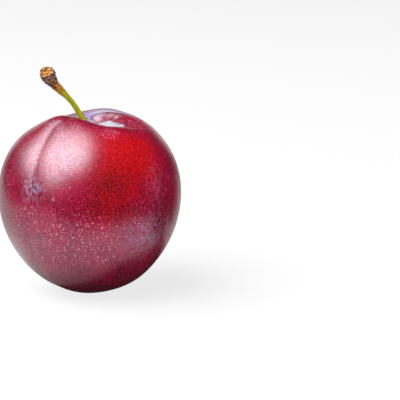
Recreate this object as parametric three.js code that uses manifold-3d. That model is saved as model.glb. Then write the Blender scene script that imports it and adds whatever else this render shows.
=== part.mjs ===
// A fresh plum with its stalk, standing on the small flat spot of its blossom end.
// Millimetres, +Z up, front towards -Y. The origin is on the resting spot, under the middle of the fruit.

import * as THREE from 'three';
import { ParametricGeometry } from 'three/addons/geometries/ParametricGeometry.js';
import { mergeVertices } from 'three/addons/utils/BufferGeometryUtils.js';
import Module from 'manifold-3d';

const { degToRad, smoothstep, clamp } = THREE.MathUtils;

const wasm = await Module();
wasm.setup();

// ---------------------------------------------------------------------------------------------
// Driving dimensions. Lengths are in millimetres. Places on the fruit's skin are given by two
// angles in radians: polar, from the stalk end, and azimuth, about the core from +X towards +Y.
// "Map" lengths are polar angles laid out flat around the stalk end: across to +X, away to +Y.
// ---------------------------------------------------------------------------------------------

const FRUIT = {
  halfWidth: 28, // left to right
  halfDepth: 27.6, // front to back
  halfHeight: 29.2, // along the core, before the stalk cavity is pressed in
  blunting: 0.072, // how much the stalk end is flatter than the blossom end
  lean: degToRad(7), // tilt of the stalk end towards +X; the blossom end stays upright
  leanReach: 27, // the lean grows from none this far below the middle to all of it this far above
  flatSpot: 0.45, // height trimmed off the blossom end by what it rests on
};

const CAVITY = {
  azimuth: degToRad(-40), // the direction in which the hollow is long
  depth: 6.2,
  halfLength: 0.4, // map lengths
  halfBreadth: 0.27,
  steepness: 1.15,
};

const CREASE = {
  depth: 0.9, // a fold that runs out of the cavity over its front rim
  halfBreadth: 0.06, // map lengths
  sharpness: 1.6,
  start: 0.15,
  fadeFrom: 0.3,
  fadeTo: 0.62,
};

const SHOULDER = {
  drop: 2, // the left shoulder is lower than the right
  across: -0.62, // map lengths
  spreadAcross: 0.42,
  spreadAway: 1.1,
};

const RIM = {
  rise: 0.65, // the highest part of the cavity's rim, at the back
  across: 0.14, // map lengths
  away: 0.42,
  spreadAcross: 0.24,
  spreadAway: 0.24,
};

const BROW = {
  rise: 1, // the rounded part of the rim at the front left, where the suture begins
  across: -0.48, // map lengths
  away: -0.22,
  spreadAcross: 0.2,
  spreadAway: 0.26,
};

const LIP = {
  drop: 1, // the lowest part of the rim, at the front of the cavity
  across: 0.06, // map lengths
  away: -0.34,
  spreadAcross: 0.18,
  spreadAway: 0.2,
};

const SUTURE = {
  azimuth: degToRad(-159), // towards both ends
  turn: degToRad(29), // how far it swings round to the front at the middle
  grooveDepth: 0.3,
  grooveHalfWidth: 1,
  valleyDepth: 0.5,
  valleyHalfWidth: 3.2,
  startFrom: 0.35, // polar angles: the groove opens outside the cavity and fades below the middle
  startTo: 0.7,
  fadeFrom: 1.1,
  fadeTo: 2.4,
  fade: 0.75,
  poleGap: 0.3, // the groove also dies out this share of a radius from the core
};

const STALK = {
  // Centreline from the foot, in the socket, to the cupped end where it broke from the twig.
  route: [
    [0.8, 0, 50.5], [-2.35, -0.1, 54.7], [-5.15, -0.7, 59], [-8.35, -1.3, 62.6],
    [-10.5, -2.2, 64.9], [-12.1, -4, 67.6], [-12.5, -5.2, 69],
  ],
  // Radius against the share of the length: a wide foot, a thin neck and a swollen knob.
  radii: [
    [0, 1.2], [0.1, 1.08], [0.17, 0.97], [0.24, 0.9], [0.34, 0.88], [0.46, 0.82], [0.55, 0.9],
    [0.63, 1.15], [0.7, 1.28], [0.78, 1.52], [0.86, 1.92], [0.93, 2.15], [1, 2.05],
  ],
  endDish: 0.6, // hollow in the cupped end
};

const SOCKET = {
  clearance: 0.3, // gap between the stalk's foot and the socket's wall and floor
};

const MESH = {
  fruitAround: 72,
  fruitAlong: 46,
  crowding: 1.25, // above 1, rows crowd towards the stalk end
  stalkAround: 18,
  stalkAlong: 34,
  socketAround: 24,
};

// ---------------------------------------------------------------------------------------------
// Curves
// ---------------------------------------------------------------------------------------------

/** A bell that is 1 at 0 and falls to 1/e at distance = spread. */
function bell(distance, spread, sharpness = 2) {
  return Math.exp(-(Math.abs(distance / spread) ** sharpness));
}

/** Height pressed down into the top: the cavity, crease, low shoulder and lip, less the high rim and brow. */
function pressedDepth(polar, azimuth) {
  const along = polar * Math.cos(azimuth - CAVITY.azimuth);
  const across = polar * Math.sin(azimuth - CAVITY.azimuth);
  const oval = Math.hypot(along / CAVITY.halfLength, across / CAVITY.halfBreadth);
  const cavity = CAVITY.depth * bell(oval, 1, 2 * CAVITY.steepness);

  const opened = smoothstep(along, 0, CREASE.start);
  const faded = smoothstep(along, CREASE.fadeFrom, CREASE.fadeTo);
  const crease = CREASE.depth * opened * (1 - faded) * bell(across, CREASE.halfBreadth, CREASE.sharpness);

  const east = polar * Math.cos(azimuth);
  const north = polar * Math.sin(azimuth);
  const shoulder = SHOULDER.drop * bell(east - SHOULDER.across, SHOULDER.spreadAcross)
    * bell(north, SHOULDER.spreadAway);
  const rim = RIM.rise * bell(east - RIM.across, RIM.spreadAcross) * bell(north - RIM.away, RIM.spreadAway);
  const brow = BROW.rise * bell(east - BROW.across, BROW.spreadAcross)
    * bell(north - BROW.away, BROW.spreadAway);
  const lip = LIP.drop * bell(east - LIP.across, LIP.spreadAcross) * bell(north - LIP.away, LIP.spreadAway);
  return cavity + crease + shoulder + lip - rim - brow;
}

/** Depth of the suture: a narrow groove in a broad shallow valley down one side. */
function sutureDepth(polar, azimuth) {
  const line = SUTURE.azimuth + SUTURE.turn * Math.sin(polar);
  const facing = Math.sin(polar) * Math.cos(azimuth - line);
  const distance = FRUIT.halfWidth * Math.sin(polar) * Math.sin(azimuth - line);
  const opening = smoothstep(polar, SUTURE.startFrom, SUTURE.startTo) * smoothstep(facing, 0, SUTURE.poleGap);
  const closing = 1 - SUTURE.fade * smoothstep(polar, SUTURE.fadeFrom, SUTURE.fadeTo);
  const groove = SUTURE.grooveDepth * bell(distance, SUTURE.grooveHalfWidth);
  const valley = SUTURE.valleyDepth * bell(distance, SUTURE.valleyHalfWidth);
  return opening * closing * (groove + valley);
}

/** A point of the skin, about the middle of the fruit: a blunted ellipsoid, pressed in and then leant. */
function skinPoint(polar, azimuth, target) {
  const shrink = 1 - sutureDepth(polar, azimuth) / FRUIT.halfWidth;
  const cosine = Math.cos(polar);
  const x = FRUIT.halfWidth * Math.sin(polar) * Math.cos(azimuth) * shrink;
  const y = FRUIT.halfDepth * Math.sin(polar) * Math.sin(azimuth) * shrink;
  const height = FRUIT.halfHeight * cosine * (1 - FRUIT.blunting * cosine) * shrink;
  const z = height - pressedDepth(polar, azimuth);
  const share = clamp((1 + z / FRUIT.leanReach) / 2, 0, 1);
  const angle = FRUIT.lean * share;
  return target.set(x * Math.cos(angle) + z * Math.sin(angle), y, z * Math.cos(angle) - x * Math.sin(angle));
}

const stalkRoute = new THREE.CatmullRomCurve3(STALK.route.map((point) => new THREE.Vector3(...point)));
const stalkRadii = new THREE.SplineCurve(STALK.radii.map((knot) => new THREE.Vector2(...knot)));

/** A point of the stalk: a round section carried along the route, closed on the axis at both ends. */
function stalkPoint(turn, rise, target) {
  const cap = 1 / MESH.stalkAlong;
  const share = clamp((rise - cap) / (1 - 2 * cap), 0, 1);
  const closing = clamp(Math.min(rise, 1 - rise) / cap, 0, 1);
  const radius = stalkRadii.getPoint(share).y * closing;
  const centre = stalkRoute.getPointAt(share);
  const tangent = stalkRoute.getTangentAt(share);
  const side = new THREE.Vector3(0, 1, 0).cross(tangent).normalize();
  const front = new THREE.Vector3().crossVectors(tangent, side);
  const dish = rise > 0.5 ? STALK.endDish * (1 - closing) : 0;
  return target.copy(centre)
    .addScaledVector(side, radius * Math.cos(2 * Math.PI * turn))
    .addScaledVector(front, radius * Math.sin(2 * Math.PI * turn))
    .addScaledVector(tangent, -dish);
}

// ---------------------------------------------------------------------------------------------
// Solids
// ---------------------------------------------------------------------------------------------

/** A solid with merged vertices and without the zero-area triangles at its poles. */
function toSolid(geometry) {
  const bare = geometry.clone();
  bare.deleteAttribute('normal');
  bare.deleteAttribute('uv');
  const merged = mergeVertices(bare);
  const corners = merged.index.array;
  const faces = [];
  for (let i = 0; i < corners.length; i += 3) {
    const [a, b, c] = corners.subarray(i, i + 3);
    if (a !== b && b !== c && c !== a) faces.push(a, b, c);
  }
  return new wasm.Manifold(new wasm.Mesh({
    numProp: 3,
    vertProperties: merged.attributes.position.array,
    triVerts: new Uint32Array(faces),
  }));
}

/** The solid's surface as a geometry to draw. */
function toGeometry(solid) {
  const mesh = solid.getMesh();
  const geometry = new THREE.BufferGeometry();
  geometry.setAttribute('position', new THREE.BufferAttribute(mesh.vertProperties, 3));
  geometry.setIndex(new THREE.BufferAttribute(mesh.triVerts, 1));
  geometry.computeVertexNormals();
  return geometry;
}

/** The fruit in one piece, set down on its flat spot, with the stalk's socket at the foot of the cavity. */
function fruitGeometry() {
  const body = new ParametricGeometry(
    (turn, rise, target) => skinPoint(Math.PI * (1 - rise) ** MESH.crowding, 2 * Math.PI * turn, target),
    MESH.fruitAround,
    MESH.fruitAlong,
  );
  body.computeBoundingBox();
  body.translate(0, 0, -body.boundingBox.min.z - FRUIT.flatSpot);

  const below = new THREE.BoxGeometry(FRUIT.halfWidth, FRUIT.halfWidth, FRUIT.halfWidth);
  below.translate(0, 0, -FRUIT.halfWidth / 2);

  const foot = stalkRoute.getPoint(0);
  const radius = stalkRadii.getPoint(0).y + SOCKET.clearance;
  const reach = 2 * radius;
  const socket = new THREE.CylinderGeometry(radius, radius, reach, MESH.socketAround);
  socket.translate(0, reach / 2 - SOCKET.clearance, 0);
  socket.applyQuaternion(new THREE.Quaternion().setFromUnitVectors(
    new THREE.Vector3(0, 1, 0),
    stalkRoute.getTangent(0),
  ));
  socket.translate(foot.x, foot.y, foot.z);

  return toGeometry(toSolid(body).subtract(toSolid(below)).subtract(toSolid(socket)));
}

/** The stalk in one piece. */
function stalkGeometry() {
  return new ParametricGeometry(stalkPoint, MESH.stalkAround, MESH.stalkAlong);
}

// ---------------------------------------------------------------------------------------------
// The part
// ---------------------------------------------------------------------------------------------

const skin = new THREE.MeshStandardMaterial({ color: '#8a0a2e', roughness: 0.28, metalness: 0 });
const stalkBark = new THREE.MeshStandardMaterial({ color: '#8a7a1e', roughness: 0.6, metalness: 0 });

const fruit = new THREE.Mesh(fruitGeometry(), skin);
fruit.name = 'fruit';

const stalk = new THREE.Mesh(stalkGeometry(), stalkBark);
stalk.name = 'stalk';

const plum = new THREE.Group();
plum.name = 'plum';
plum.add(fruit, stalk);

export default plum;
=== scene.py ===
"""A fresh red plum with its stalk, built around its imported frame, and a plain studio stage to see it on."""

import math
from functools import partial

import bpy
import numpy as np
from bpy.props import FloatProperty, IntProperty, PointerProperty, StringProperty
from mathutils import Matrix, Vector


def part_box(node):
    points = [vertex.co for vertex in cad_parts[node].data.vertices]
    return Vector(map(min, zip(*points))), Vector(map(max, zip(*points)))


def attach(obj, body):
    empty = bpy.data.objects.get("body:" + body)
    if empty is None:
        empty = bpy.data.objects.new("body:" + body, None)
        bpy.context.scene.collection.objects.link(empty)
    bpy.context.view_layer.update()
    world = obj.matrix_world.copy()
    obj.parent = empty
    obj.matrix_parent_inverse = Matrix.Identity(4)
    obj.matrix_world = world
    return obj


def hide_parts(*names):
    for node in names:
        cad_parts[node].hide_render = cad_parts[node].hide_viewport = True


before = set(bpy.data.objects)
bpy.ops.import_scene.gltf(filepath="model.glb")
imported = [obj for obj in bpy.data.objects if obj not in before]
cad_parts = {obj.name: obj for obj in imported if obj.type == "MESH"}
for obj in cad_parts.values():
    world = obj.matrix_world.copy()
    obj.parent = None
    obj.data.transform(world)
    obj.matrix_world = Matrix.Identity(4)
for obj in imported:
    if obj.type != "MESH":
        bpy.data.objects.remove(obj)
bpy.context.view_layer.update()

bl_info = {
    "name": "Plum",
    "version": (1, 0, 0),
    "blender": (4, 5, 0),
    "location": "3D View > Sidebar > Plum",
    "description": "Builds a red plum, its stalk and a studio stage",
    "category": "Add Mesh",
}

MM = 0.001
FRUIT_LOW, FRUIT_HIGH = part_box("fruit")

# ---- Shape ----
# A place on the skin is given by two angles: polar, from the stalk end, and azimuth, about the core
# from +X towards +Y. Map lengths are polar angles laid out flat round the stalk end.

BLUNTING = 0.072  # how much the stalk end is flatter than the blossom end
LEAN_REACH = 27 * MM  # height above the middle where the lean is complete

CAVITY_LENGTH, CAVITY_BREADTH = 0.40, 0.27  # map lengths of its two half axes
CAVITY_STEEPNESS = 1.15

CREASE_DEPTH = 0.9 * MM
CREASE_BREADTH = 0.06  # map lengths, as the next two
CREASE_START = 0.15
CREASE_FADE = (0.30, 0.62)
CREASE_SHARPNESS = 1.6

SHOULDER_DROP = 2.0 * MM
SHOULDER_PLACE = (-0.62, 0.0)  # map lengths: across to +X, away to +Y, as the places after it
SHOULDER_SPREAD = (0.42, 1.1)

RIM_RISE = 0.65 * MM
RIM_PLACE = (0.14, 0.42)
RIM_SPREAD = (0.24, 0.24)

BROW_RISE = 1.0 * MM
BROW_PLACE = (-0.48, -0.22)
BROW_SPREAD = (0.2, 0.26)

LIP_DROP = 1.0 * MM
LIP_PLACE = (0.06, -0.34)
LIP_SPREAD = (0.18, 0.2)

SUTURE_TURN = math.radians(29)  # how far it swings round to the front at the middle
SUTURE_HALF_WIDTH = 1.2 * MM
VALLEY_DEPTH = 0.45 * MM  # of the broad valley that the suture lies in
VALLEY_HALF_WIDTH = 3.2 * MM
SUTURE_OPENING, SUTURE_FADING = (0.35, 0.7), (1.1, 2.4)  # polar angles
SUTURE_FADE = 0.75  # how much of it is gone after that
SUTURE_SIDE = 0.3  # how far onto its own side of the fruit it comes in

# The right lobe's inner wall bulges up to a fold line. Both follow an oval in map lengths, and are
# given by shares of its size, or of its half axes along and across it.
LOBE_MIDDLE = (0.168, 0.12)
LOBE_HALF = (0.247, 0.107)
LOBE_TURN = math.radians(-30.6)  # of its long axis, from +X towards +Y
LOBE_START, LOBE_END = (-0.6, 0.0), (0.35, 0.8)  # comes in across it, dies out along it
LOBE_BULGE = 0.35 * MM
LOBE_CREST, LOBE_CREST_BREADTH = 0.75, 0.3
FOLD_DEPTH = 0.30 * MM
FOLD_PLACE, FOLD_BREADTH = 1.08, 0.13

LUMP_HEIGHT = 0.10 * MM
# Waves over the skin: what multiplies the direction's x, y and z, and the phase.
LUMP_WAVES = ((5.1, 0.0, 2.3, 0.4), (0.0, 4.3, -1.9, 1.1), (9.7, -6.1, 4.9, 0.0))
FINE_LUMPS = 0.5  # height of the third wave, beside that of the other two multiplied
PLEAT_HEIGHT = 0.10 * MM
PLEAT_COUNT = 9
PLEAT_SWAY = 3.0  # how unevenly they are spaced
PLEAT_START, PLEAT_END = (0.03, 0.10), (0.12, 0.34)  # map lengths
PIT_DEPTH = 0.7 * MM
PIT_RADIUS = 1.7 * MM
SCAR_DEPTH = 0.3 * MM
SCAR_RADIUS = 1.2 * MM
SCAR_TIP, SCAR_TIP_RADIUS = 0.6, 0.35  # the knot in its middle, as shares of its depth and radius
FLAT_SOFTNESS = 0.25 * MM  # how gently the flat spot meets the skin
FLAT_TOPPED = 4.0  # sharpness of a bell with a flat top and steep sides
CROWDING = 1.2  # above 1, rings of vertices crowd towards the stalk end

# The stalk's centreline from its foot to the cupped end, in millimetres.
STALK_ROUTE = (
    (0.4, 0.0, 50.2), (-2.5, -0.1, 54.7), (-5.15, -0.7, 59.0), (-8.35, -1.3, 62.6),
    (-10.5, -2.2, 64.9), (-12.1, -4.0, 67.6), (-12.5, -5.2, 69.0),
)
# Share of the length, and the radius there in millimetres.
STALK_RADII = (
    (0.0, 1.15), (0.10, 0.95), (0.17, 0.86), (0.24, 0.82), (0.34, 0.82), (0.46, 0.80), (0.55, 0.90),
    (0.63, 1.15), (0.70, 1.28), (0.78, 1.52), (0.86, 1.98), (0.90, 2.16), (0.95, 2.22), (0.98, 2.12),
    (1.0, 1.95),
)
SLOPE_STEP = 0.01  # share of the length each way over which the stalk's direction is taken
BARK_START = (0.62, 0.86)  # shares of the length
# Waves round the stalk: height as a share of the radius, number round it, run along it, and phase.
RIDGE_WAVES = ((0.030, 5, 4, 0.0), (0.018, 11, -7, 0.0))
BARK_WAVES = ((0.045, 13, -31, 0.0), (0.04, 3, 0, 1.3))
BARK_SCALES = 0.075  # height of the scales of cork, as a share of the radius
END_DISH = 0.75 * MM
DISH_SLOPE = (0.05, 0.75)  # shares of the way from the end's edge to its middle, as the next two
HEART_RISE, HEART_RADIUS = 0.35 * MM, 0.22
EDGE_WAVE, EDGE_PLACE, EDGE_BREADTH = 0.2 * MM, 0.12, 0.15
END_GRAIN = 0.05 * MM
END_ROWS = 24
FIBRE_RADIUS, FIBRE_LENGTH = 2.0, 24.0  # the stalk's size in millimetres in the pattern of its fibres


def bell(distance, spread, sharpness=2.0):
    """1 at no distance, falling to 1/e where the distance equals the spread."""
    return np.exp(-np.abs(distance / spread) ** sharpness)


def ease(value, start, end):
    """0 up to start, 1 from end, and 3t^2 - 2t^3 between them."""
    t = np.clip((value - start) / (end - start), 0.0, 1.0)
    return t * t * (3.0 - 2.0 * t)


def laid_out(polar, azimuth):
    """A place on the map of the stalk end: polar is the distance from its middle, azimuth the direction."""
    return polar * np.cos(azimuth), polar * np.sin(azimuth)


def mound(east, north, place, spread):
    """A rounded hill of height 1: a bell of the distance across times a bell of the distance away."""
    return bell(east - place[0], spread[0]) * bell(north - place[1], spread[1])


def pressed_depth(polar, azimuth, size):
    """How far the top is pressed down: an oval bell for the stalk cavity, a narrow bell along its long
    axis for the crease, mounds for the low shoulder and lip, and negative ones for the high rim and brow."""
    along, across = laid_out(polar, azimuth - size.cavity_azimuth)
    oval = np.hypot(along / CAVITY_LENGTH, across / CAVITY_BREADTH)
    cavity = size.cavity_depth * bell(oval, 1.0, 2.0 * CAVITY_STEEPNESS)
    span = ease(along, 0.0, CREASE_START) * (1.0 - ease(along, *CREASE_FADE))
    crease = CREASE_DEPTH * span * bell(across, CREASE_BREADTH, CREASE_SHARPNESS)
    east, north = laid_out(polar, azimuth)
    shoulder = SHOULDER_DROP * mound(east, north, SHOULDER_PLACE, SHOULDER_SPREAD)
    rim = RIM_RISE * mound(east, north, RIM_PLACE, RIM_SPREAD)
    brow = BROW_RISE * mound(east, north, BROW_PLACE, BROW_SPREAD)
    lip = LIP_DROP * mound(east, north, LIP_PLACE, LIP_SPREAD)
    return cavity + crease + shoulder + lip - rim - brow


def suture_place(polar, azimuth, size):
    """Signed distance from the suture's line, and its strength: it opens outside the cavity, weakens
    below the middle and dies out on the far side."""
    line = size.suture_azimuth + SUTURE_TURN * np.sin(polar)
    facing = np.sin(polar) * np.cos(azimuth - line)
    distance = 0.5 * size.width * np.sin(polar) * np.sin(azimuth - line)
    strength = ease(polar, *SUTURE_OPENING) * ease(facing, 0.0, SUTURE_SIDE)
    return distance, strength * (1.0 - SUTURE_FADE * ease(polar, *SUTURE_FADING))


def lobe_place(polar, azimuth):
    """A place on the right lobe's inner wall: shares of the fold oval's half axes along and across it,
    and how far out it is, 0 in the middle and 1 on the fold line."""
    east, north = laid_out(polar, azimuth)
    east, north = east - LOBE_MIDDLE[0], north - LOBE_MIDDLE[1]
    along = (east * math.cos(LOBE_TURN) + north * math.sin(LOBE_TURN)) / LOBE_HALF[0]
    across = (north * math.cos(LOBE_TURN) - east * math.sin(LOBE_TURN)) / LOBE_HALF[1]
    return along, across, np.hypot(along, across)


def relief(polar, azimuth):
    """Small height of the skin off its plain form: slow lumps as products of sines of the direction,
    pleats fanning from the stalk, the lobe's bulge with its fold line, the pit round the stalk's foot
    and the scar at the blossom end."""
    x, y, z = np.sin(polar) * np.cos(azimuth), np.sin(polar) * np.sin(azimuth), np.cos(polar)
    first, second, third = (np.sin(a * x + b * y + c * z + phase) for a, b, c, phase in LUMP_WAVES)
    lumps = first * second + FINE_LUMPS * third
    fan = np.sin(PLEAT_COUNT * azimuth + PLEAT_SWAY * np.sin(azimuth))
    pleats = fan * ease(polar, *PLEAT_START) * (1.0 - ease(polar, *PLEAT_END))
    along, across, oval = lobe_place(polar, azimuth)
    bulge = LOBE_BULGE * bell(oval - LOBE_CREST, LOBE_CREST_BREADTH)
    fold = FOLD_DEPTH * bell(oval - FOLD_PLACE, FOLD_BREADTH)
    lobe = ease(across, *LOBE_START) * (1.0 - ease(along, *LOBE_END)) * (bulge - fold)
    radius = 0.5 * (FRUIT_HIGH.x - FRUIT_LOW.x)
    pit = bell(radius * polar, PIT_RADIUS, FLAT_TOPPED)
    from_scar = radius * (math.pi - polar)
    tip = SCAR_TIP * bell(from_scar, SCAR_TIP_RADIUS * SCAR_RADIUS)
    scar = bell(from_scar, SCAR_RADIUS, FLAT_TOPPED) - tip
    return LUMP_HEIGHT * lumps + PLEAT_HEIGHT * pleats + lobe - PIT_DEPTH * pit - SCAR_DEPTH * scar


def fruit_surface(polar, azimuth, size):
    """A blunted ellipsoid, grooved along the suture and pressed in at the top, whose axis leans over
    towards the stalk end; set down on its flat spot, where the height is softly stopped at zero."""
    radius = 0.5 * size.width
    distance, strength = suture_place(polar, azimuth, size)
    valley = VALLEY_DEPTH * bell(distance, VALLEY_HALF_WIDTH)
    groove = strength * (size.suture_depth * bell(distance, SUTURE_HALF_WIDTH) + valley)
    scale = 1.0 + (relief(polar, azimuth) - groove) / radius
    x = radius * np.sin(polar) * np.cos(azimuth) * scale
    y = 0.5 * size.depth * np.sin(polar) * np.sin(azimuth) * scale
    core = 0.5 * size.core_height * np.cos(polar) * (1.0 - BLUNTING * np.cos(polar))
    z = core * scale - pressed_depth(polar, azimuth, size)
    lean = size.lean * np.clip(0.5 + 0.5 * z / LEAN_REACH, 0.0, 1.0)
    points = np.stack([x * np.cos(lean) + z * np.sin(lean), y, z * np.cos(lean) - x * np.sin(lean)], axis=-1)
    plain_low = -0.5 * size.core_height * (1.0 + BLUNTING)
    height = points[..., 2] - plain_low - size.flat_spot
    points[..., 2] = 0.5 * (height + np.sqrt(height ** 2 + FLAT_SOFTNESS ** 2))
    points[..., 2] -= points[..., 2].min()
    return points


def through(knots, values, at):
    """The smooth curve through values at the knots: cubic pieces that share a slope at each knot, worked
    out from its two neighbours."""
    knots, values = np.asarray(knots, float), np.asarray(values, float)
    slopes = np.gradient(values, knots, axis=0)
    i = np.clip(np.searchsorted(knots, at, side="right") - 1, 0, len(knots) - 2)
    step = knots[i + 1] - knots[i]
    t = (at - knots[i]) / step
    wide = (slice(None),) + (None,) * (values.ndim - 1)
    t, step = t[wide], step[wide]
    return (
        (2 * t**3 - 3 * t**2 + 1) * values[i] + (t**3 - 2 * t**2 + t) * step * slopes[i]
        + (3 * t**2 - 2 * t**3) * values[i + 1] + (t**3 - t**2) * step * slopes[i + 1]
    )


def waves(turn, along, table):
    """The sum of the table's sines of the turn round the stalk and the share along it."""
    return sum(height * np.sin(count * turn + run * along + phase) for height, count, run, phase in table)


def stalk_surface(share, turn, size):
    """A round section carried along the stalk's route. Its radius follows the stalk's swelling, with
    ridges along the green part and scales and waves of bark on the knob. share is 0 at the foot and 1 at
    the end; down to -1 the foot closes, and up to 2 the end folds into a dished face."""
    route = np.array(STALK_ROUTE) * MM
    lengths = np.concatenate([[0.0], np.cumsum(np.linalg.norm(np.diff(route, axis=0), axis=1))])
    knots = lengths / lengths[-1]
    inside = np.clip(share, 0.0, 1.0)
    centre = through(knots, route, inside)
    ahead = through(knots, route, np.clip(inside + SLOPE_STEP, 0.0, 1.0))
    behind = through(knots, route, np.clip(inside - SLOPE_STEP, 0.0, 1.0))
    tangent = (ahead - behind) / np.linalg.norm(ahead - behind, axis=1, keepdims=True)
    side = np.cross((0.0, 1.0, 0.0), tangent)
    side /= np.linalg.norm(side, axis=1, keepdims=True)
    front = np.cross(tangent, side)

    radii = np.array(STALK_RADII)
    radius = through(radii[:, 0], radii[:, 1], inside)[:, None] * MM * size.thickness
    along = inside[:, None]
    face = np.clip(share - 1.0, 0.0, 1.0)[:, None]
    foot = np.clip(1.0 + share, 0.0, 1.0)[:, None]
    bark = ease(along, *BARK_START) * (1.0 - face)
    scales = BARK_SCALES * np.sin(7 * turn + 16 * along) * np.sin(70 * along + 2.2 * np.sin(3 * turn))
    rough = scales + waves(turn, along, BARK_WAVES)
    ring = radius * (1.0 + waves(turn, along, RIDGE_WAVES) * (1.0 - bark) + rough * bark)
    ring = ring * (1.0 - face) * foot
    heart = HEART_RISE * bell(1.0 - face, HEART_RADIUS)
    dish = END_DISH * np.sin(0.5 * math.pi * ease(face, *DISH_SLOPE)) - heart
    edge = EDGE_WAVE * np.sin(4 * turn + 0.8) * bell(face - EDGE_PLACE, EDGE_BREADTH)
    grain = END_GRAIN * np.sin(6 * turn + 11 * face) * (face > 0) * (1.0 - face)
    rise = edge + grain - np.where(face > 0, dish, 0.0)
    outward = np.cos(turn)[..., None] * side[:, None, :] + np.sin(turn)[..., None] * front[:, None, :]
    return centre[:, None, :] + ring[..., None] * outward + rise[..., None] * tangent[:, None, :]


def pole_to_pole(grid):
    """A grid's numbers in the order of the mesh's vertices: one for the first row, which is all one
    pole, then each row between, then one for the last."""
    return np.concatenate([grid[0, :1], grid[1:-1].reshape((-1,) + grid.shape[2:]), grid[-1, :1]])


def closed_surface(name, grid, values):
    """A closed mesh from a grid of points. Its rows run from one pole to the other, and each turns
    anticlockwise seen from the last. values maps an attribute's name to a grid of its numbers, one or
    three to a point."""
    count, around = grid.shape[0] - 2, grid.shape[1]
    points = pole_to_pole(grid)
    index = 1 + np.arange(count * around).reshape(count, around)
    after = np.roll(index, -1, axis=1)
    quads = np.stack([index[:-1], after[:-1], after[1:], index[1:]], axis=-1).reshape(-1, 4)
    start = np.stack([np.zeros(around, int), after[0], index[0]], axis=-1)
    end = np.stack([np.full(around, len(points) - 1), index[-1], after[-1]], axis=-1)
    corners = np.concatenate([quads.ravel(), start.ravel(), end.ravel()])
    sizes = np.concatenate([np.full(len(quads), 4), np.full(2 * around, 3)])
    mesh = bpy.data.meshes.new(name)
    mesh.vertices.add(len(points))
    mesh.vertices.foreach_set("co", points.ravel())
    mesh.loops.add(len(corners))
    mesh.loops.foreach_set("vertex_index", corners)
    mesh.polygons.add(len(sizes))
    mesh.polygons.foreach_set("loop_start", np.concatenate([[0], np.cumsum(sizes)[:-1]]))
    mesh.update(calc_edges=True)
    mesh.polygons.foreach_set("use_smooth", np.ones(len(sizes), bool))
    for attribute, numbers in values.items():
        kind, field = ("FLOAT_VECTOR", "vector") if numbers.ndim > 2 else ("FLOAT", "value")
        data = mesh.attributes.new(attribute, kind, "POINT").data
        data.foreach_set(field, pole_to_pole(numbers).astype(np.float32).ravel())
    mesh.validate()
    piece = bpy.data.objects.new(name, mesh)
    bpy.context.scene.collection.objects.link(piece)
    return piece


# ---- Where the skin's colours and its bloom lie ----

# Patches as (polar, azimuth, half height, half width, strength): angles in degrees on the fruit.
PATCHES = {
    "blush": (
        (56, -65, 17, 19, 1.2), (68, -73, 20, 14, 1.2), (84, -80, 10, 11, 0.8), (62, 110, 30, 35, 0.8),
    ),
    # Painted shade: deep red where the blush lies low and turns from the light, and low on the right.
    "painted_shade_red": (
        (74, -78, 13, 16, 0.9), (86, -86, 10, 14, 0.9), (89, -72, 7, 10, 0.9), (95, -38, 10, 8, 0.8),
    ),
    "bloom": (
        (80, -129, 6.5, 5.5, 1.0), (106, -50, 11, 15, 0.40), (102, -33, 8, 3, 0.45),
        (84.3, -113.5, 1.7, 0.6, 1.0), (36, -77, 4, 3.5, 0.15), (27, -51.5, 2.2, 1.6, 1.0),
        (23.5, -57, 2.4, 2.2, 1.0), (35.5, -154, 1.2, 3.0, 0.9), (33, -147, 1.2, 3.5, 1.0),
        (31.3, -142.5, 1.0, 2.0, 0.9), (41, -141, 1.1, 1.2, 0.9), (74, -46, 12, 7, 0.10),
        (95, 60, 12, 8, 0.5), (60, 160, 8, 6, 0.4), (115, 130, 10, 12, 0.5),
    ),
    # Dusky veils: painted shade and a darker reflection, mostly on the lower half and right side, and a dark
    # ring round the suture's spot.
    "dusk_and_shade": (
        (98, -45, 20, 17, 0.85), (137, -70, 21, 60, 0.55), (70, -45, 16, 7, 0.2), (112, -136, 26, 9, 0.75),
        (80, -129, 9, 9, 0.8), (106, -60, 13, 20, 0.4), (100, 175, 40, 40, 0.6),
    ),
    "violet": (
        (80, -129, 8, 8, 0.4), (107, -62, 14, 26, 0.45), (33, -118, 8, 18, 0.5), (17, 113, 3.5, 5, 0.65),
        (20.5, -140, 4, 5, 0.7),
    ),
    # Powdery bloom, laid where the gloss mirrors the paper: its flush and grains also paint the haze and
    # glints of that reflection.
    "powder_and_reflection": (
        (110, -95, 20, 40, 1.0), (112, -125, 28, 30, 1.0), (104, -62, 16, 18, 0.75), (74, -46, 18, 8, 0.5),
        (80, -152, 16, 10, 0.6), (37, -78, 7, 7, 1.0), (27, -20, 12, 20, 0.9), (33, -118, 7, 16, 0.55),
        (110, 60, 40, 60, 0.6),
    ),
}
POWDER_AND_REFLECTION_EDGE = (0.3, 0.7)

# The bloom in the hollow: places and lengths on the map of the stalk end, and shares of full cover.
FLOOR_MIDDLE = (0.07, -0.14)
FLOOR_HALF = (0.24, 0.275)
FLOOR_EDGE = (0.86, 0.98)  # shares of FLOOR_HALF between which the floor's bloom ends
FLOOR_FRONT = (0.12, 0.32)  # how far in front of the stalk that edge turns soft
FLOOR_FRONT_EDGE = (-0.36, 0.14)  # what that adds to FLOOR_EDGE
FLOOR_SLANT = (0.315, 1.5)  # the lobe ends the floor where north = first - second * east
FLOOR_SLANT_EDGE = 0.03
WALL_RADIUS, WALL_SHARPNESS = 0.42, 6.0
WALL_START = (0.02, 0.14)
WALL_COVER, WALL_COVER_LEFT, WALL_LEFT = 0.78, 0.12, (0.0, 0.2)
LOBE_EDGE = (0.95, 1.15)
LOBE_TIP, LOBE_TIP_COVER = (-0.85, -0.35), 0.6
FRONT_RADIUS, FRONT_END, FRONT_COVER = 0.22, (-0.05, 0.1), 0.3
WAX_LUMP = (0.203, 0.131)
SPECKS = ((-0.115, 0.214), (-0.075, 0.185))
SPECK_RADIUS = 0.016
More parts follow.
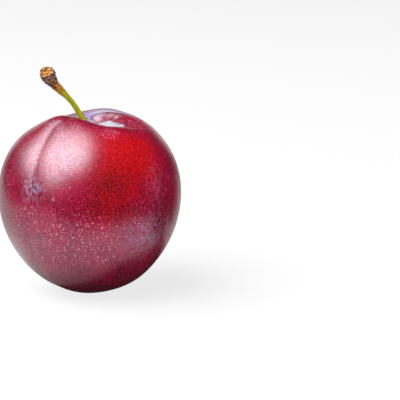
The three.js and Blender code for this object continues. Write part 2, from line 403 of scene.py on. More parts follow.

# The fold's dark line and the crescent under it, which are painted shade in the fold: how far out on the
# lobe's oval and how broad, where they begin and end along it, and where they come in across it.
LINE_PLACE, LINE_BREADTH = 1.04, 0.07
LINE_END, LINE_ACROSS = (0.2, 0.7), (-0.7, -0.3)
CRESCENT_PLACE, CRESCENT_BREADTH, CRESCENT_COVER = 0.72, 0.24, 0.9
CRESCENT_START, CRESCENT_END, CRESCENT_ACROSS = (-0.7, -0.45), (0.1, 0.5), (0.0, 0.3)


def patch_cover(polar, azimuth, patches):
    """How much the patches cover each place: the highest of their bells, each over the polar distance
    and the distance round its own parallel."""
    cover = np.zeros_like(polar)
    for middle, place, tall, wide, strength in patches:
        up = (polar - math.radians(middle)) / math.radians(tall)
        turned = np.angle(np.exp(1j * (azimuth - math.radians(place))))
        round_ = np.sin(polar) * turned / math.radians(wide)
        cover = np.maximum(cover, strength * bell(np.hypot(up, round_), 1.0))
    return cover


def cavity_bloom(polar, azimuth):
    """How thick the bloom lies in the hollow: thickest on its floor, up to the lobe's wall; thick on the
    wall behind the stalk, out to a band along the back rim; on the tip of the lobe by the stalk; thin in
    front; and one lump of wax on the lobe."""
    east, north = laid_out(polar, azimuth)
    along, _, oval = lobe_place(polar, azimuth)
    outside = ease(oval, *LOBE_EDGE)
    reach = np.hypot((east - FLOOR_MIDDLE[0]) / FLOOR_HALF[0], (north - FLOOR_MIDDLE[1]) / FLOOR_HALF[1])
    front_edge = ease(-north, *FLOOR_FRONT)
    edge = [plain + front_edge * more for plain, more in zip(FLOOR_EDGE, FLOOR_FRONT_EDGE)]
    short_of_lobe = ease(FLOOR_SLANT[0] - north - FLOOR_SLANT[1] * east, -FLOOR_SLANT_EDGE, FLOOR_SLANT_EDGE)
    ground = short_of_lobe * (1.0 - ease(reach, *edge))
    wall = outside * bell(polar, WALL_RADIUS, WALL_SHARPNESS) * ease(north, *WALL_START)
    wall = wall * (WALL_COVER + WALL_COVER_LEFT * (1.0 - ease(east, *WALL_LEFT)))
    tip = LOBE_TIP_COVER * (1.0 - outside) * (1.0 - ease(along, *LOBE_TIP))
    front = FRONT_COVER * bell(polar, FRONT_RADIUS, FLAT_TOPPED) * (1.0 - ease(north, *FRONT_END))
    lump = bell(np.hypot(east - WAX_LUMP[0], north - WAX_LUMP[1]), SPECK_RADIUS, FLAT_TOPPED)
    return np.maximum.reduce([ground, wall, tip, front, lump])


def fold_shade_and_specks(polar, azimuth):
    """Painted shade in the fold: a dark line along the top of the lobe and a dusky crescent under it;
    and two dry specks by the stalk's foot."""
    east, north = laid_out(polar, azimuth)
    along, across, oval = lobe_place(polar, azimuth)
    line = bell(oval - LINE_PLACE, LINE_BREADTH) * ease(across, *LINE_ACROSS)
    line = line * (1.0 - ease(along, *LINE_END))
    crescent = bell(oval - CRESCENT_PLACE, CRESCENT_BREADTH) * ease(across, *CRESCENT_ACROSS)
    crescent = CRESCENT_COVER * crescent * ease(along, *CRESCENT_START) * (1.0 - ease(along, *CRESCENT_END))
    specks = [bell(np.hypot(east - x, north - y), SPECK_RADIUS, FLAT_TOPPED) for x, y in SPECKS]
    return np.maximum.reduce([line, crescent, *specks])


def skin_values(polar, azimuth, size):
    """The skin's attributes: the grain, which is a place in millimetres laid out along the meridians, and
    how much each place has of the hollow's bloom, the fold's painted shade with two specks, the
    suture's line, each kind of patch, and the scar."""
    distance, strength = suture_place(polar, azimuth, size)
    radius = 0.5 * size.width
    values = {name: patch_cover(polar, azimuth, patches) for name, patches in PATCHES.items()}
    values["powder_and_reflection"] = ease(values["powder_and_reflection"], *POWDER_AND_REFLECTION_EDGE)
    return values | {
        "grain": radius / MM * np.stack([np.cos(azimuth), np.sin(azimuth), polar], axis=-1),
        "cavity": cavity_bloom(polar, azimuth),
        "fold": fold_shade_and_specks(polar, azimuth),
        "suture": strength * bell(distance, 1.3 * SUTURE_HALF_WIDTH),
        "scar": bell(radius * (math.pi - polar), 1.5 * SCAR_RADIUS, FLAT_TOPPED),
    }


# ---- Materials ----


def linear(colour):
    """A colour given as #RRGGBB in sRGB, as linear red, green, blue and alpha."""
    parts = [int(colour[i : i + 2], 16) / 255.0 for i in (1, 3, 5)]
    return (*(c / 12.92 if c <= 0.04045 else ((c + 0.055) / 1.055) ** 2.4 for c in parts), 1.0)


def add(tree, kind, inputs=None, **settings):
    """Adds one shader node. settings are its own properties, and inputs maps a socket, by name or
    number, to a value or to the output that it is linked to."""
    node = tree.nodes.new(kind)
    for name, value in settings.items():
        setattr(node, name, value)
    for key, value in (inputs or {}).items():
        if isinstance(value, bpy.types.NodeSocket):
            tree.links.new(value, node.inputs[key])
        else:
            node.inputs[key].default_value = value
    return node


def new_material(name):
    """A material with an empty tree and its output node."""
    material = bpy.data.materials.new(name)
    material.use_nodes = True
    material.node_tree.nodes.clear()
    return material, material.node_tree, add(material.node_tree, "ShaderNodeOutputMaterial")


def mottle(tree, place, size, low, high, detail=3.0, rough=0.55, stretch=(1, 1, 1), shift=(0, 0, 0)):
    """Cloudy patches about size across, from 0 where the noise is under low to 1 where it is over high.
    They are drawn out along an axis where stretch is under 1, and shift sets two patterns apart."""
    laid = add(tree, "ShaderNodeMapping", {"Vector": place, "Location": shift, "Scale": stretch})
    form = {"Vector": laid.outputs[0], "Scale": 1.0 / size, "Detail": detail, "Roughness": rough}
    noise = add(tree, "ShaderNodeTexNoise", form).outputs[0]
    return add(tree, "ShaderNodeMapRange", {"Value": noise, "From Min": low, "From Max": high}).outputs[0]


def dots(tree, place, spacing, radius, softness, luck=(0.25, 0.75), shift=(0, 0, 0)):
    """Scattered round dots: within radius of a point of a jittered grid, fading out over softness. Each
    has a number by chance: it is left out up to the first value of luck, and full from the second."""
    laid = add(tree, "ShaderNodeMapping", {"Vector": place, "Location": shift})
    cells = add(tree, "ShaderNodeTexVoronoi", {"Vector": laid.outputs[0], "Scale": 1.0 / spacing})
    inner, outer = radius / spacing, (radius + softness) / spacing
    near = {"Value": cells.outputs["Distance"], "From Min": outer, "From Max": inner}
    chance = {"Value": cells.outputs["Color"], "From Min": luck[0], "From Max": luck[1]}
    factors = [add(tree, "ShaderNodeMapRange", values).outputs[0] for values in (near, chance)]
    return combine(tree, "MULTIPLY", *factors)


def combine(tree, operation, *values):
    """The values joined by one arithmetic operation, from left to right, kept between 0 and 1."""
    total = values[0]
    for value in values[1:]:
        node = add(tree, "ShaderNodeMath", {0: total, 1: value}, operation=operation, use_clamp=True)
        total = node.outputs[0]
    return total


def layered(tree, ground, layers):
    """Each layer is a factor and a colour laid over what is below it. A colour is #RRGGBB or an output."""
    for factor, colour in layers:
        below, above = (linear(each) if isinstance(each, str) else each for each in (ground, colour))
        ground = add(tree, "ShaderNodeMix", {0: factor, 6: below, 7: above}, data_type="RGBA").outputs[2]
    return ground


# How fully each layer of the skin covers what is under it.
STREAK_COVER, FLECK_COVER, REFLECTION_FLUSH_COVER = 0.35, 0.22, 0.10
SPECK_COVER, BLUSH_PORE_COVER, PORE_COVER, BIG_PORE_COVER = 0.70, 0.75, 0.85, 0.5
THIN_BLOOM, SUTURE_BLOOM, POWDER_AND_GLINT_COVER, GRAIN_AND_GLINT_COVER, FOLD_SHADE_COVER = 0.006, 0.03, 0.30, 0.85, 0.75
DUSTY_ROUGHNESS = 0.72
GREEN_ROUGHNESS, CORK_ROUGHNESS = 0.42, 0.8
DRY_START, COLLAR_START = (0.62, 0.72), (0.78, 0.88)  # shares of the way up the stalk


def plum_skin(look):
    """Plum skin: a thin cuticle over red flesh, smooth and waxy. The wax gives a soft-edged gloss;
    where the bloom, a dusting of wax grains, isn't rubbed off, it turns pale, bluish and matt."""
    material, tree, output = new_material("waxy plum skin")
    times, plus = (partial(combine, tree, operation) for operation in ("MULTIPLY", "ADD"))
    thing = add(tree, "ShaderNodeTexCoord").outputs["Object"]
    place = add(tree, "ShaderNodeVectorMath", {0: thing, "Scale": 1.0 / MM}, operation="SCALE").outputs[0]
    part = {
        name: add(tree, "ShaderNodeAttribute", attribute_name=name).outputs["Fac"]
        for name in ("cavity", "fold", "suture", "scar", *PATCHES)
    }
    grain = add(tree, "ShaderNodeAttribute", attribute_name="grain").outputs["Vector"]

    # Pigment: wine red ground, crimson clouds a centimetre across, streaks 2 mm wide along the meridians,
    # and scarlet where the skin stayed thin and clear. Painted shade: deep red low in the blush, and dusky
    # veils that paint shade and a darker reflection, mostly on the lower half and right side of the fruit.
    clouds = mottle(tree, place, 9.0, 0.35, 0.65)
    streaks = mottle(tree, grain, 2.2, 0.40, 0.68, detail=4.0, stretch=(1, 1, 0.16))
    flecks = mottle(tree, grain, 0.9, 0.46, 0.66, stretch=(1, 1, 0.45))
    blush_edge = mottle(tree, place, 6.0, 0.25, 0.60, detail=4.0, shift=(3, 7, 1))
    blush = plus(part["blush"], times(part["blush"], blush_edge))
    veil = plus(times(streaks, 0.6), 0.35)
    bare = combine(tree, "SUBTRACT", 1.0, part["blush"])
    colour = layered(tree, look.wine, (
        (clouds, look.crimson),
        (times(streaks, STREAK_COVER), look.wine),
        (blush, look.scarlet),
        # painted shade: deep red low in the blush
        (part["painted_shade_red"], look.painted_shade_red),
        # dusky veils: painted shade and a darker reflection
        (times(part["dusk_and_shade"], veil), look.dusk_and_shade),
        (times(flecks, bare, FLECK_COVER), look.crimson),
        # a pale flush on the powdery skin: painted haze of the paper's reflection
        (times(part["powder_and_reflection"], REFLECTION_FLUSH_COVER), look.pore_and_haze),
    ))

    # Lenticels: pale pores, most of them 0.2 to 0.4 mm across and a few of 0.6 mm, on skin whose cells
    # mottle it darker. Real cells are ten times finer, and are drawn 0.3 mm across so that they show.
    specks = mottle(tree, place, 0.34, 0.47, 0.60, detail=1.5, shift=(6, 3, 2))
    small_pores = dots(tree, place, look.pore_spacing, look.pore_radius, 0.11, luck=(0.3, 0.7))
    pores = dots(tree, place, 0.8, 0.05, 0.13, luck=(0.35, 0.75), shift=(3, 8, 4))
    big_pores = dots(tree, place, 2.3, 0.12, 0.20, shift=(5, 2, 9))
    larger = combine(tree, "MAXIMUM", pores, big_pores)
    colour = layered(tree, colour, (
        (times(specks, SPECK_COVER), look.dusk_and_shade),
        (times(small_pores, part["blush"], BLUSH_PORE_COVER), look.blush_pore),
        (times(small_pores, bare, PORE_COVER), look.pore_and_haze),
        (times(larger, bare, BIG_PORE_COVER), look.big_pore),
    ))

    # Bloom: thick in the hollow, in wisps on its patches, in fine dots and coarser grains on the powdery
    # skin, where they also paint the haze and glints of the paper's reflection, and very thin elsewhere.
    # Its grains are microns wide, and are drawn 0.2 to 0.5 mm wide.
    wispy = {"detail": 5.0, "rough": 0.68, "stretch": (1, 1, 0.7), "shift": (2, 9, 4)}
    wisps = mottle(tree, grain, 1.0, 0.44, 0.62, **wispy)
    haze = mottle(tree, place, 11.0, 0.30, 0.75, detail=4.0, shift=(8, 1, 6))
    dust = mottle(tree, place, 0.35, 0.30, 0.70, detail=2.0)
    fine = dots(tree, place, 0.48, 0.07, 0.11, luck=(0.35, 0.7), shift=(1, 4, 7))
    coarse = dots(tree, place, 0.95, 0.10, 0.16, luck=(0.2, 0.7), shift=(2, 6, 1))
    uneven = plus(times(wisps, 0.25), 0.85)
    cover = combine(
        tree, "MAXIMUM",
        times(part["bloom"], wisps),
        times(haze, THIN_BLOOM),
        times(part["suture"], wisps, SUTURE_BLOOM),
        times(part["cavity"], uneven),
        times(fine, part["powder_and_reflection"], POWDER_AND_GLINT_COVER),
    )
    dusty = plus(times(dust, 0.35), 0.65)
    bloom = times(cover, dusty)
    thickest = add(tree, "ShaderNodeMapRange", {"Value": part["cavity"], "From Min": 0.86, "From Max": 1.0})
    wax = layered(tree, look.bloom, (
        (part["violet"], look.violet_bloom),
        (thickest.outputs[0], look.thick_bloom),
    ))
    colour = layered(tree, colour, (
        (bloom, wax),
        # coarse wax grains, which also paint glints in the paper's reflection
        (times(coarse, part["powder_and_reflection"], GRAIN_AND_GLINT_COVER), look.wax_grain_and_glint),
        # painted shade in the fold, with two dry specks
        (times(part["fold"], FOLD_SHADE_COVER), look.dusk_and_shade),
        (part["scar"], look.scar),
    ))

    # The wax lies in platelets, which gloss more than the gaps between them. Its gloss is faintly pink.
    dusted = {"Value": bloom, "To Min": look.gloss_roughness, "To Max": DUSTY_ROUGHNESS}
    platelets = mottle(tree, place, 0.34, 0.42, 0.58, detail=2.0, shift=(7, 7, 2))
    pimples, cells = times(small_pores, 0.35), times(specks, 0.5)
    height = plus(pimples, cells)
    bump = add(tree, "ShaderNodeBump", {"Height": height, "Strength": 0.35, "Distance": 0.05 * MM})
    shader = add(tree, "ShaderNodeBsdfPrincipled", {
        "Base Color": colour, "Roughness": add(tree, "ShaderNodeMapRange", dusted).outputs[0],
        "Normal": bump.outputs[0], "IOR": 1.55,
        "Specular IOR Level": 0.6, "Specular Tint": (0.94, 0.79, 0.99, 1.0),
        "Subsurface Weight": 0.10, "Subsurface Radius": (1.0, 0.12, 0.08), "Subsurface Scale": 2.0 * MM,
        "Coat Weight": platelets, "Coat Roughness": 0.25, "Coat IOR": 1.7, "Coat Normal": bump.outputs[0],
    })
    tree.links.new(shader.outputs[0], output.inputs["Surface"])
    return material


def stalk_bark(look):
    """Plum stalk: a fresh green stem with fine fibres, drying to brown corky bark on the knob, and a
    pale fibrous scar on its cupped end. It is matt, with a slight waxy sheen on the green part."""
    material, tree, output = new_material("fresh stalk and cork")
    times, plus = (partial(combine, tree, operation) for operation in ("MULTIPLY", "ADD"))
    fibre = add(tree, "ShaderNodeAttribute", attribute_name="fibre").outputs["Vector"]
    reach = add(tree, "ShaderNodeAttribute", attribute_name="reach").outputs["Fac"]
    face = add(tree, "ShaderNodeAttribute", attribute_name="face").outputs["Fac"]

    # Fibres half a millimetre apart, drawn out eight times along it; bark and cracks nearly as fine.
    fibres = mottle(tree, fibre, 0.5, 0.35, 0.65, stretch=(1, 1, 0.12))
    cork = mottle(tree, fibre, 0.8, 0.44, 0.56, detail=5.0, stretch=(1, 1, 0.55), shift=(4, 2, 1))
    cracks = mottle(tree, fibre, 0.55, 0.47, 0.55, detail=4.0, stretch=(1, 1, 0.7), shift=(9, 5, 3))
    weathered = mottle(tree, fibre, 0.7, 0.50, 0.60, shift=(2, 7, 6))
    pits = mottle(tree, fibre, 0.8, 0.46, 0.54, shift=(5, 1, 8))

    # The green part, the dry bark from some way up, and the dark collar of the knob.
    wander = plus(reach, times(fibres, 0.07))
    dry, collar = (
        add(tree, "ShaderNodeMapRange", {"Value": wander, "From Min": start, "From Max": end}).outputs[0]
        for start, end in (DRY_START, COLLAR_START)
    )
    colour = layered(tree, look.green, (
        (times(fibres, 0.6), look.yellow_green),
        (dry, look.tan),
        (times(dry, cork, 0.85), look.brown),
        (times(dry, cracks, 0.7), look.dark),
        (times(collar, plus(cracks, 0.3)), look.dark),
        (times(collar, weathered, 0.6), look.grey),
    ))

    # The scar on the cupped end, with a ragged edge.
    heart = add(tree, "ShaderNodeMapRange", {"Value": face, "From Min": 0.2, "From Max": 0.6})
    scar = layered(tree, look.end_pale, (
        (heart.outputs[0], look.end),
        (times(pits, 0.8), look.brown),
        (times(cracks, 0.75), look.dark),
    ))
    rim = combine(tree, "SUBTRACT", face, times(cracks, 0.12))
    is_face = add(tree, "ShaderNodeMapRange", {"Value": rim, "From Min": 0.03, "From Max": 0.10}).outputs[0]

    flakes = times(dry, cork)
    height = plus(times(fibres, 0.3), flakes)
    bump = add(tree, "ShaderNodeBump", {"Height": height, "Strength": 0.8, "Distance": 0.2 * MM})
    dried = {"Value": dry, "To Min": GREEN_ROUGHNESS, "To Max": CORK_ROUGHNESS}
    shader = add(tree, "ShaderNodeBsdfPrincipled", {
        "Base Color": layered(tree, colour, ((is_face, scar),)), "IOR": 1.45,
        "Roughness": add(tree, "ShaderNodeMapRange", dried).outputs[0], "Normal": bump.outputs[0],
        "Subsurface Weight": 0.05, "Subsurface Radius": (0.6, 0.6, 0.2), "Subsurface Scale": 1.0 * MM,
    })
    tree.links.new(shader.outputs[0], output.inputs["Surface"])
    return material


# ---- Sizes and colours that a user would change ----


def hex_property(name, description, default):
    """A text property that holds a colour as #RRGGBB."""
    return StringProperty(name=name, description=description, default=default)


def length_property(name, description, default):
    """A length in metres."""
    return FloatProperty(name=name, description=description, default=default, unit="LENGTH")


def angle_property(name, description, degrees):
    """An angle, given here in degrees."""
    return FloatProperty(name=name, description=description, default=math.radians(degrees), subtype="ANGLE")


class PlumFruitSize(bpy.types.PropertyGroup):
    """Sizes of the fruit's form."""

    width: length_property("Width", "Left to right", FRUIT_HIGH.x - FRUIT_LOW.x)
    depth: length_property("Depth", "Front to back", FRUIT_HIGH.y - FRUIT_LOW.y)
    core_height: length_property("Core height", "Height before the cavity is pressed in", 58.4 * MM)
    flat_spot: length_property("Flat spot", "Height pressed off the blossom end", 0.45 * MM)
    lean: angle_property("Lean", "Tilt of the stalk end towards +X", 7)
    cavity_depth: length_property("Cavity depth", "Depth of the hollow round the stalk", 6.2 * MM)
    cavity_azimuth: angle_property("Cavity azimuth", "Direction in which the hollow is long", -40)
    suture_depth: length_property("Suture depth", "Depth of the groove down one side", 0.15 * MM)
    suture_azimuth: angle_property("Suture azimuth", "Direction of the groove towards both ends", -159)
    rings: IntProperty(name="Rings", description="Rings of vertices from pole to pole", default=250)
    around: IntProperty(name="Around", description="Vertices in each ring", default=340)


class PlumSkinLook(bpy.types.PropertyGroup):
    """Colours and pattern sizes of the skin."""

    wine: hex_property("Wine", "Darkest red of the ground colour", "#560219")
    crimson: hex_property("Crimson", "Main red of the ground colour", "#760322")
    scarlet: hex_property("Scarlet", "Bright red blush", "#880201")
    # Painted shade: deep red where the blush turns from the light.
    painted_shade_red: hex_property("Garnet", "Deep red low in the blush", "#560103")
    # Dusky colour: the skin's darker cells, and painted shade and a darker reflection.
    dusk_and_shade: hex_property("Dusk", "Dusky purple red", "#3A0311")
    # Pores, and a flush that paints the haze of the paper's reflection on the powdery skin.
    pore_and_haze: hex_property("Pore", "Small pale pores", "#B01850")
    blush_pore: hex_property("Blush pore", "Small pores in the blush", "#C21E26")
    big_pore: hex_property("Large pore", "The few larger pores", "#D86A8C")
    bloom: hex_property("Bloom", "Waxy bloom", "#84909F")
    # Wax grains, which also paint glints in the paper's reflection.
    wax_grain_and_glint: hex_property("Wax grain", "Coarse grains of wax on the powdery skin", "#D0909E")
    violet_bloom: hex_property("Violet bloom", "Bloom in the deepest shade of the hollow", "#6A74B4")
    thick_bloom: hex_property("Thick bloom", "Bloom on the floor of the hollow", "#90969F")
    scar: hex_property("Scar", "Dry scar at the blossom end", "#7A5A3A")
    pore_spacing: FloatProperty(
        name="Pore spacing", description="Cell size of the small pores, in millimetres", default=0.40)
    pore_radius: FloatProperty(
        name="Pore radius", description="Radius of the small pores, in millimetres", default=0.07)
    gloss_roughness: FloatProperty(
        name="Gloss roughness", description="Roughness of the clean waxy skin", default=0.27,
        subtype="FACTOR")


class PlumStalkLook(bpy.types.PropertyGroup):
    """Size and colours of the stalk."""

    thickness: FloatProperty(
        name="Thickness", description="Scales the stalk's radius", default=1.0, subtype="FACTOR")
    rings: IntProperty(name="Rings", description="Rings of vertices along the stalk", default=220)
    around: IntProperty(name="Around", description="Vertices in each ring", default=72)
    green: hex_property("Green", "Fresh green of the stalk", "#5C620C")
    yellow_green: hex_property("Yellow green", "Lit fibres of the green part", "#968E14")
    tan: hex_property("Tan", "Dry bark", "#B87C32")
    brown: hex_property("Brown", "Darker cork", "#4C240A")
    dark: hex_property("Dark", "The knob's dark collar", "#160A06")
    grey: hex_property("Grey", "Weathered specks on the collar", "#93828C")
    end: hex_property("End", "Fibrous scar of the cupped end", "#BC7A24")
    end_pale: hex_property("Pale end", "Pale fibres of the scar", "#C49452")


class PlumStage(bpy.types.PropertyGroup):
    """The floor, the light and the camera."""

    camera_elevation: angle_property("Camera elevation", "Height of the view above the horizon", 12)
    camera_distance: length_property("Camera distance", "From the camera to the fruit's middle", 0.463)
    lens: FloatProperty(name="Lens", description="Focal length in millimetres", default=135.0)
    aim_right: length_property("Aim right", "How far right of the fruit the camera aims", 33.8 * MM)
    aim_height: length_property("Aim height", "Height that the camera aims at", 27.9 * MM)
    panel_radiance: FloatProperty(
        name="Panel radiance", description="Brightness of the large soft light", default=8.6)
    fill_radiance: FloatProperty(
        name="Fill radiance", description="Brightness of the broad lights that leave no gloss", default=7.3)
    reflector_radiance: FloatProperty(
        name="Reflector radiance", description="Brightness of the reflector behind the fruit", default=0.8)
    room_radiance: FloatProperty(
        name="Room radiance", description="Brightness of the dim room round the stage", default=0.02)


def fruit_skin_mesh(size):
    """The fruit's mesh, from the blossom end to the stalk end."""
    rise = np.linspace(0.0, 1.0, size.rings + 2)
    turn = np.linspace(0.0, 2.0 * math.pi, size.around, endpoint=False)
    polar, azimuth = np.meshgrid(math.pi * (1.0 - rise) ** CROWDING, turn, indexing="ij")
    points, values = fruit_surface(polar, azimuth, size), skin_values(polar, azimuth, size)
    return closed_surface("plum_fruit", points, values)


def stalk_mesh(size):
    """The stalk's mesh, from its foot to the middle of its cupped end. Its attributes are the fibre, a
    place in millimetres on the straightened stalk, the share of the way up, and of the way into the end."""
    up = np.linspace(0.0, 1.0, size.rings)
    share = np.concatenate([[-1.0], up, np.linspace(1.0, 2.0, END_ROWS)[1:]])
    turn = np.linspace(0.0, 2.0 * math.pi, size.around, endpoint=False)[None, :]
    radius = FIBRE_RADIUS * (2.0 - np.clip(share, 1.0, 2.0))[:, None]
    flat = np.zeros_like(turn)
    length = FIBRE_LENGTH * np.minimum(share, 1.0)[:, None] + flat
    return closed_surface("plum_stalk", stalk_surface(share, turn, size), {
        "fibre": np.stack([radius * np.cos(turn), radius * np.sin(turn), length], axis=-1),
        "reach": np.clip(share, 0.0, 1.0)[:, None] + flat,
        "face": np.clip(share - 1.0, 0.0, 1.0)[:, None] + flat,
    })


class PLUM_OT_fruit(bpy.types.Operator):
    """Builds the fruit with its waxy skin"""

    bl_idname = "plum.fruit"
    bl_label = "Fruit"

    def execute(self, context):
        piece = fruit_skin_mesh(context.scene.plum_fruit)
        piece.data.materials.append(plum_skin(context.scene.plum_skin))
        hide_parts("fruit")
        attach(piece, "root")
        return {"FINISHED"}


class PLUM_OT_stalk(bpy.types.Operator):
    """Builds the stalk with its corky knob"""

    bl_idname = "plum.stalk"
    bl_label = "Stalk"

    def execute(self, context):
        piece = stalk_mesh(context.scene.plum_stalk)
        piece.data.materials.append(stalk_bark(context.scene.plum_stalk))
        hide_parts("stalk")
        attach(piece, "root")
        return {"FINISHED"}


# The floor reaches from in front of the fruit to far behind it. Just under it lies a sheet of paper that
# the camera never sees: the fruit's gloss mirrors it. The notch under the fruit stands in for the paper's
# shade there and mirrors as a dark crescent. Outlines in metres, seen from above.
FLOOR_OUTLINE = ((-2.0, -1.0), (2.0, -1.0), (2.0, 3.0), (-2.0, 3.0))
FLOOR_ALBEDO, FLOOR_GLOW = (0.14, 0.14, 0.14), 0.80
SHEET_OUTLINE = (
    (0.0, -0.068), (0.055, -0.066), (0.078, -0.045), (0.062, -0.022), (0.046, -0.003), (0.036, -0.009),
    (0.027, -0.015), (0.018, -0.021), (0.008, -0.021), (0.001, -0.0165), (-0.005, -0.013),
    (-0.011, -0.007), (-0.012, 0.004), (0.0, 0.006),
    (0.03, 0.02), (0.056, 0.012), (0.065, 0.035), (0.26, 0.31), (0.4, 0.7),
    (-0.5, 0.7), (-0.25, 0.3), (-0.165, 0.09), (-0.167, -0.03), (-0.156, -0.09), (-0.084, -0.1),
    (-0.029, -0.08),
)
# The sheet's albedo is low under the fruit as a painted shadow, and lower again far from it.
SHEET_SHADED_ALBEDO, SHEET_DEPTH = (0.25, 0.56, 0.37), 0.5 * MM
PAPER_STEPS = (15 * MM, 42 * MM, 75 * MM)  # how far from the middle each albedo of the paper is reached

# Lights: azimuth and elevation in degrees, then place and size as soft_panel takes them. The window
# and the weaker light below it glow in a bell: its middle, half axes and turn as fade_to_edges takes them.
PANEL_DISTANCE = 1.5
WINDOW = (-98.3, 49.2, (0.1, 0.0), (3.4, 2.8))
WINDOW_GLOW = ((0.600, 0.602), (0.83, 0.54), math.radians(25))
LOW_WINDOW = (-52.0, 26.0, (0.0, 0.0), (0.8, 0.6))
LOW_WINDOW_GLOW = ((0.5, 0.5), (0.30, 0.22), 0.0)
LOW_WINDOW_SHARE = 0.27  # of the window's radiance
GLOW_SHARPNESS = 1.5  # power of the squared distance in the bell
REFLECTOR = (180, 4, (0.0, 0.0), (1.0, 0.35))
# Broad lights that leave no gloss, each with its share of the fill's radiance.
FILLS = (
    ("front_fill", (-9, 24, (0.0, 0.0), (1.0, 1.0)), 0.83),
    ("right_fill", (72, 22, (0.0, 0.0), (1.0, 1.0)), 0.68),
)
FRUIT_MIDDLE = 29 * MM  # height that the camera's distance is measured from
SENSOR_WIDTH = 36.0  # millimetres, as the lens
CLIP_START = 10 * MM


def matt_paper(name, albedo_and_shade, glow):
    """Matt pale paper with three albedos: under the fruit, round it, and away from it. On the sheet the low
    albedo under the fruit is a painted shadow, and the paper is darker again far away. A little glow
    keeps it near white away from the shadow."""
    material, tree, output = new_material(name)
    place = add(tree, "ShaderNodeTexCoord").outputs["Object"]
    away = add(tree, "ShaderNodeVectorMath", {0: place}, operation="LENGTH").outputs["Value"]
    steps = [
        add(tree, "ShaderNodeMapRange", {
            "Value": away, "From Min": PAPER_STEPS[i], "From Max": PAPER_STEPS[i + 1],
            "To Min": albedo_and_shade[i], "To Max": albedo_and_shade[i + 1],
        }).outputs[0]
        for i in (0, 1)
    ]
    matt = add(tree, "ShaderNodeBsdfDiffuse", {"Color": combine(tree, "MINIMUM", *steps)})
    light = add(tree, "ShaderNodeEmission", {"Color": (1, 1, 1, 1), "Strength": glow})
    both = add(tree, "ShaderNodeAddShader", {0: matt.outputs[0], 1: light.outputs[0]})
    tree.links.new(both.outputs[0], output.inputs["Surface"])
    return material


def flat_sheet(context, name, outline, height, paper):
    """A level polygon of paper, as part of the stage."""
    mesh = bpy.data.meshes.new(name)
    mesh.from_pydata([(x, y, height) for x, y in outline], [], [tuple(range(len(outline)))])
    mesh.materials.append(paper)
    sheet = bpy.data.objects.new(name, mesh)
    context.scene.collection.objects.link(sheet)
    return sheet


def pale_room(context, radiance):
    """The world: pale behind the stage, and dim as a source of light."""
    world = bpy.data.worlds.new("studio")
    context.scene.world = world
    world.use_nodes = True
    tree = world.node_tree
    tree.nodes.clear()
    seen = add(tree, "ShaderNodeLightPath").outputs["Is Camera Ray"]
    level = add(tree, "ShaderNodeMapRange", {"Value": seen, "To Min": radiance, "To Max": 1.0}).outputs[0]
    backdrop = add(tree, "ShaderNodeBackground", {"Color": (1, 1, 1, 1), "Strength": level})
    add(tree, "ShaderNodeOutputWorld", {"Surface": backdrop.outputs[0]})


def soft_panel(context, name, azimuth, elevation, place, size, radiance):
    """A rectangular soft light whose plane is PANEL_DISTANCE from the fruit, in the direction given by
    azimuth, in degrees from the front towards the right, and elevation. place and size are lengths in
    that plane, to its right and up, as shares of the distance."""
    across, up = math.radians(azimuth), math.radians(elevation)
    back = Vector((math.sin(across) * math.cos(up), -math.cos(across) * math.cos(up), math.sin(up)))
    facing = back.to_track_quat("Z", "Y")
    light = bpy.data.lights.new(name, "AREA")
    light.shape = "RECTANGLE"
    light.size, light.size_y = (PANEL_DISTANCE * length for length in size)
    light.energy = radiance * math.pi * light.size * light.size_y
    panel = bpy.data.objects.new(name, light)
    panel.location = facing @ Vector((*place, 1.0)) * PANEL_DISTANCE
    panel.rotation_mode = "QUATERNION"
    panel.rotation_quaternion = facing
    panel.visible_camera = False
    context.scene.collection.objects.link(panel)
    return panel


def fade_to_edges(light, middle, spread, turn):
    """Makes an area light brightest at middle, which is a share of its sides, falling off as an
    oval bell. spread, its half axes, is in shares of the distance; turn is the oval's turn."""
    light.use_nodes = True
    tree = light.node_tree
    tree.nodes.clear()
    sides = (light.size / PANEL_DISTANCE, light.size_y / PANEL_DISTANCE, 0.0)
    place = add(tree, "ShaderNodeNewGeometry").outputs["Parametric"]
    offset = add(tree, "ShaderNodeVectorMath", {0: place, 1: (*middle, 0.0)}, operation="SUBTRACT")
    length = add(tree, "ShaderNodeVectorMath", {0: offset.outputs[0], 1: sides}, operation="MULTIPLY")
    turned = {"Vector": length.outputs[0], "Angle": -turn}
    upright = add(tree, "ShaderNodeVectorRotate", turned, rotation_type="Z_AXIS")
    shares = {0: upright.outputs[0], 1: (*spread, 1.0)}
    scaled = add(tree, "ShaderNodeVectorMath", shares, operation="DIVIDE").outputs[0]
    square = add(tree, "ShaderNodeVectorMath", {0: scaled, 1: scaled}, operation="DOT_PRODUCT")
    power = {0: square.outputs["Value"], 1: GLOW_SHARPNESS}
    steep = add(tree, "ShaderNodeMath", power, operation="POWER").outputs[0]
    minus = add(tree, "ShaderNodeMath", {0: steep, 1: -1.0}, operation="MULTIPLY").outputs[0]
    level = add(tree, "ShaderNodeMath", {0: minus}, operation="EXPONENT").outputs[0]
    glow = add(tree, "ShaderNodeEmission", {"Color": (1, 1, 1, 1), "Strength": level})
    add(tree, "ShaderNodeOutputLight", {"Surface": glow.outputs[0]})


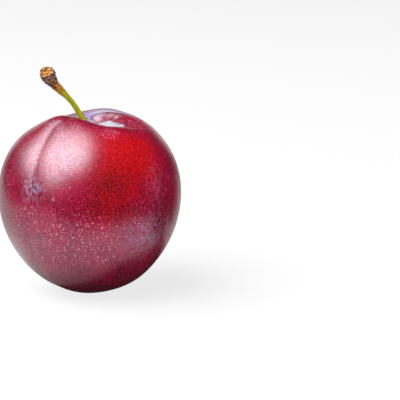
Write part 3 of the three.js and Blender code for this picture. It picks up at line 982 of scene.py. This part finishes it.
class PLUM_OT_stage(bpy.types.Operator):
    """Sets the floor, the soft light and the camera"""

    bl_idname = "plum.stage"
    bl_label = "Stage"

    def execute(self, context):
        stage = context.scene.plum_stage
        pale = matt_paper("pale floor", FLOOR_ALBEDO, FLOOR_GLOW)
        floor = flat_sheet(context, "floor", FLOOR_OUTLINE, 0.0, pale)
        floor.visible_glossy = floor.visible_diffuse = floor.visible_shadow = False
        paper = matt_paper("white paper", SHEET_SHADED_ALBEDO, 0.0)
        flat_sheet(context, "sheet", SHEET_OUTLINE, -SHEET_DEPTH, paper).visible_camera = False

        pale_room(context, stage.room_radiance)
        window = soft_panel(context, "window", *WINDOW, stage.panel_radiance)
        fade_to_edges(window.data, *WINDOW_GLOW)
        low = soft_panel(context, "low_window", *LOW_WINDOW, LOW_WINDOW_SHARE * stage.panel_radiance)
        fade_to_edges(low.data, *LOW_WINDOW_GLOW)
        soft_panel(context, "back_reflector", *REFLECTOR, stage.reflector_radiance)
        lit = bpy.data.collections.new("lit_by_fill")
        for name in ("plum_fruit", "plum_stalk"):
            lit.objects.link(bpy.data.objects[name])
        for name, panel, share in FILLS:
            fill = soft_panel(context, name, *panel, share * stage.fill_radiance)
            fill.visible_glossy = False
            fill.data.cycles.use_multiple_importance_sampling = False
            fill.light_linking.receiver_collection = lit

        camera = bpy.data.objects.new("camera", bpy.data.cameras.new("camera"))
        camera.data.lens = stage.lens
        camera.data.sensor_width = SENSOR_WIDTH
        camera.data.clip_start = CLIP_START
        back = Vector((0, -math.cos(stage.camera_elevation), math.sin(stage.camera_elevation)))
        camera.location = Vector((0, 0, FRUIT_MIDDLE)) + back * stage.camera_distance
        aim = Vector((stage.aim_right, 0, stage.aim_height)) - camera.location
        camera.rotation_mode = "QUATERNION"
        camera.rotation_quaternion = aim.to_track_quat("-Z", "Y")
        context.scene.collection.objects.link(camera)
        context.scene.camera = camera
        context.scene.view_settings.view_transform = "Standard"
        return {"FINISHED"}


class PLUM_PT_panel(bpy.types.Panel):
    """Lists the plum's pieces in the sidebar"""

    bl_label = "Plum"
    bl_idname = "PLUM_PT_panel"
    bl_space_type = "VIEW_3D"
    bl_region_type = "UI"
    bl_category = "Plum"

    def draw(self, context):
        for operator in (PLUM_OT_fruit, PLUM_OT_stalk, PLUM_OT_stage):
            self.layout.operator(operator.bl_idname)
        for group in ("plum_fruit", "plum_skin", "plum_stalk", "plum_stage"):
            settings = getattr(context.scene, group)
            for name in settings.__annotations__:
                self.layout.prop(settings, name)


SETTINGS = {
    "plum_fruit": PlumFruitSize,
    "plum_skin": PlumSkinLook,
    "plum_stalk": PlumStalkLook,
    "plum_stage": PlumStage,
}
CLASSES = (*SETTINGS.values(), PLUM_OT_fruit, PLUM_OT_stalk, PLUM_OT_stage, PLUM_PT_panel)


def register():
    for cls in CLASSES:
        bpy.utils.register_class(cls)
    for name, group in SETTINGS.items():
        setattr(bpy.types.Scene, name, PointerProperty(type=group))


def unregister():
    for name in SETTINGS:
        delattr(bpy.types.Scene, name)
    for cls in reversed(CLASSES):
        bpy.utils.unregister_class(cls)


def main():
    """Builds both pieces and the stage."""
    register()
    bpy.ops.plum.fruit()
    bpy.ops.plum.stalk()
    bpy.ops.plum.stage()


if __name__ == "__main__":
    main()
